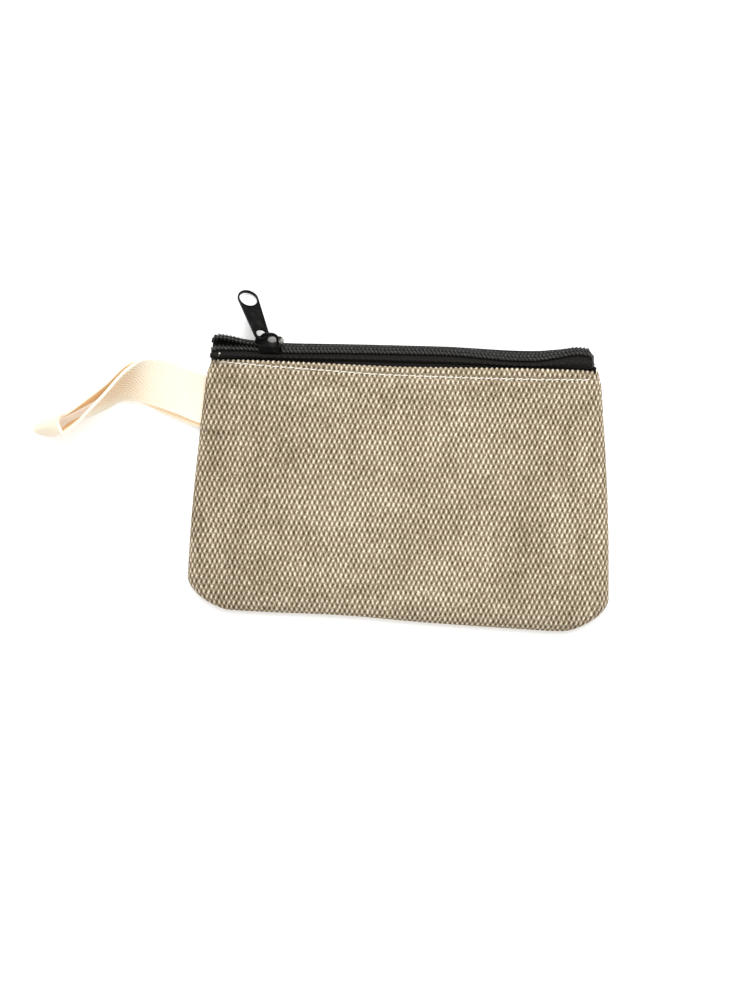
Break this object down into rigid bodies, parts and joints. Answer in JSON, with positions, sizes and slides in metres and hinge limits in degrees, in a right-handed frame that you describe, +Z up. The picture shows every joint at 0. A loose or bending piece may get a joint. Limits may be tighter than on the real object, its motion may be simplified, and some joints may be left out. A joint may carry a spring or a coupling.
{
  "type": "zippered pouch",
  "caption": "Flat canvas zip pouch with puffed front, nylon coil zip, slider with a pull tab, and a folded cotton wrist loop at one side.",
  "frame": {"origin": "On the resting plane, under the middle of the canvas body.", "axes": "+X along the zip towards its closed end, +Y from the bottom seam towards the zip, +Z up out of the front panel; the wrist loop leaves towards -X."},
  "size_m": [0.1942, 0.1111, 0.0166],
  "materials": {
    "canvas": "coarse plain weave, cream warp over brown-black weft",
    "zip_tape": "black woven polyester tape, matte",
    "zip_nylon": "black nylon coil, soft gleam",
    "black_lacquer": "black lacquered zinc alloy, lightly worn",
    "cotton_tape": "cream cotton tape, matte",
    "white_thread": "white spun thread"
  },
  "bodies": {
    "back": {"back_panel": "canvas", "zip_tape_back": "zip_tape", "zip_coil_back": "zip_nylon", "wrist_loop_tails": "cotton_tape", "topstitch_back": "white_thread", "seam_stitching": "white_thread", "end_tack_left": "white_thread", "end_tack_right": "white_thread"},
    "front_wall": {"front_panel": "canvas", "zip_tape_front": "zip_tape", "zip_coil_front": "zip_nylon", "topstitch_front": "white_thread"},
    "slider": {"slider_body": "black_lacquer", "slider_bridge": "black_lacquer"},
    "pull": {"pull_tab": "black_lacquer"},
    "loop": {"wrist_loop": "cotton_tape"}
  },
  "joints": [
    {"name": "slider_travel", "type": "slide", "parent": "back", "child": "slider", "axis": [1, 0, 0], "range_m": [0, 0.098], "deforming": ["zip_coil_front", "zip_coil_back"]},
    {"name": "mouth_open", "type": "hinge", "parent": "back", "child": "front_wall", "pos_m": [0, -0.0466, 0.003], "axis": [1, 0, 0], "range_deg": [0, 12], "deforming": ["zip_tape_front", "zip_coil_front"]},
    {"name": "pull_swing", "type": "hinge", "parent": "slider", "child": "pull", "pos_m": [-0.04711, 0.04914, 0.01018], "axis": [0.6691, 0.5523, 0.4973], "range_deg": [0, 100]},
    {"name": "wrist_loop_swing", "type": "hinge", "parent": "back", "child": "loop", "pos_m": [-0.06805, 0.02813, 0.0028], "axis": [0.1073, 0.9942, 0], "range_deg": [0, 60]}
  ],
  "couplings": [
    {"joint": "mouth_open", "follows": "slider_travel", "rad_per_m": 2.13}
  ]
}
